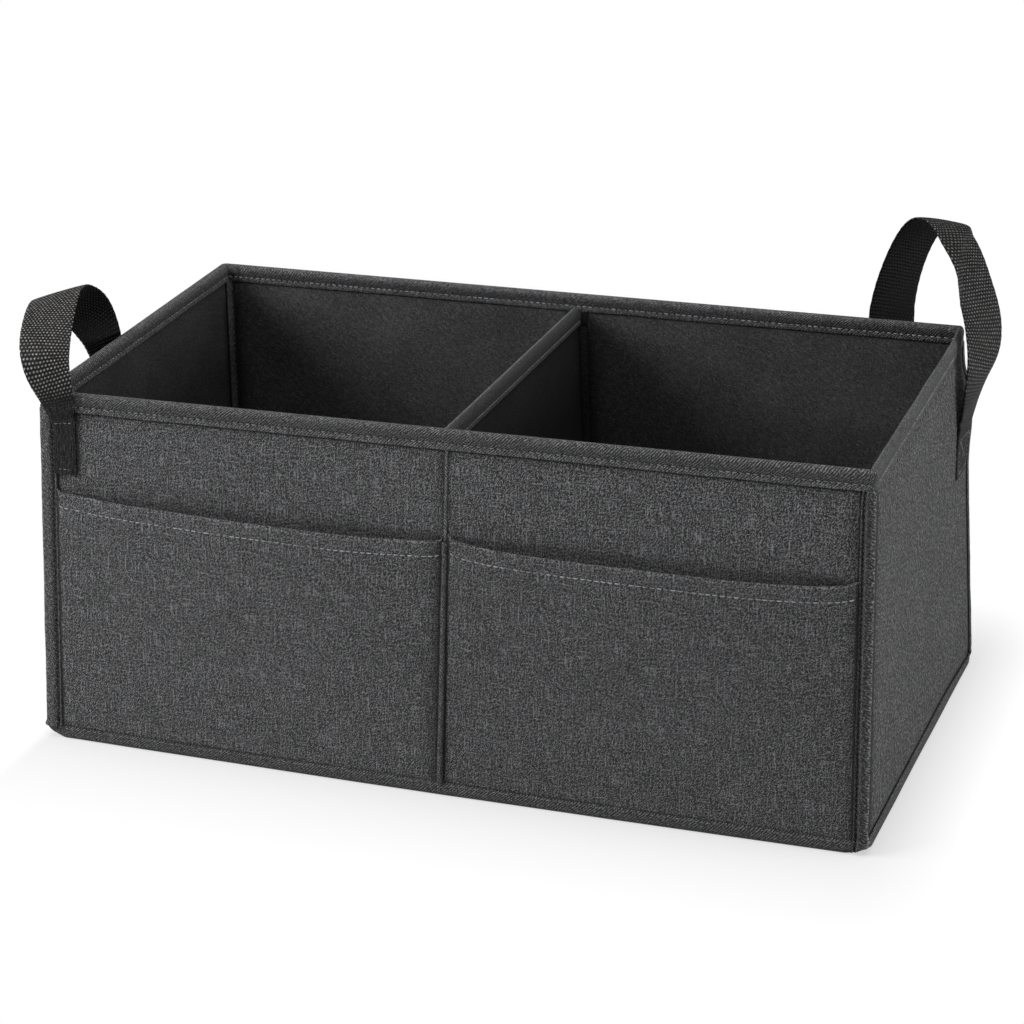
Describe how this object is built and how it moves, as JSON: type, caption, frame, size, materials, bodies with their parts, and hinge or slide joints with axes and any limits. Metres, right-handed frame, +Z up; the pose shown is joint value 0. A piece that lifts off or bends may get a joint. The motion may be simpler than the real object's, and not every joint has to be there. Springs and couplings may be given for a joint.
{
  "type": "car boot organizer",
  "caption": "Rectangular board-stiffened cloth boot box, open at the top, with a sewn middle divider, front pockets and webbing handles over two opposite corners.",
  "frame": {"origin": "centre of the underside, midway between the outer faces of the walls", "axes": "+X to the right along the long front, +Y from the pocketed front to the back, +Z up"},
  "size_m": [0.5522, 0.3402, 0.2854],
  "materials": {
    "outer_cloth": "charcoal heathered twill, matt",
    "binding_tape": "charcoal twill binding tape, stitched",
    "lining_cloth": "plain near-black woven lining, matt",
    "stiffener_board": "grey stiffening board, hidden inside the walls",
    "webbing": "brown-black ribbed webbing, slight sheen"
  },
  "bodies": {
    "root": {"front_outer_panel": "outer_cloth", "front_board": "stiffener_board", "front_lining": "lining_cloth", "back_outer_panel": "outer_cloth", "back_board": "stiffener_board", "back_lining": "lining_cloth", "left_outer_panel": "outer_cloth", "left_board": "stiffener_board", "left_lining": "lining_cloth", "right_outer_panel": "outer_cloth", "right_board": "stiffener_board", "right_lining": "lining_cloth", "base_outer_panel": "outer_cloth", "base_board": "stiffener_board", "base_lining": "lining_cloth", "front_left_corner_binding": "binding_tape", "front_left_inner_tape": "lining_cloth", "front_right_corner_binding": "binding_tape", "front_right_inner_tape": "lining_cloth", "back_right_corner_binding": "binding_tape", "back_right_inner_tape": "lining_cloth", "back_left_corner_binding": "binding_tape", "back_left_inner_tape": "lining_cloth", "rim_binding": "binding_tape", "base_binding": "binding_tape", "front_seam_binding": "binding_tape", "divider_board": "stiffener_board", "divider_left_cover": "lining_cloth", "divider_right_cover": "lining_cloth", "divider_top_binding": "binding_tape", "left_front_pocket": "outer_cloth", "right_front_pocket": "outer_cloth", "left_handle": "webbing", "right_handle": "webbing"}
  },
  "joints": []
}
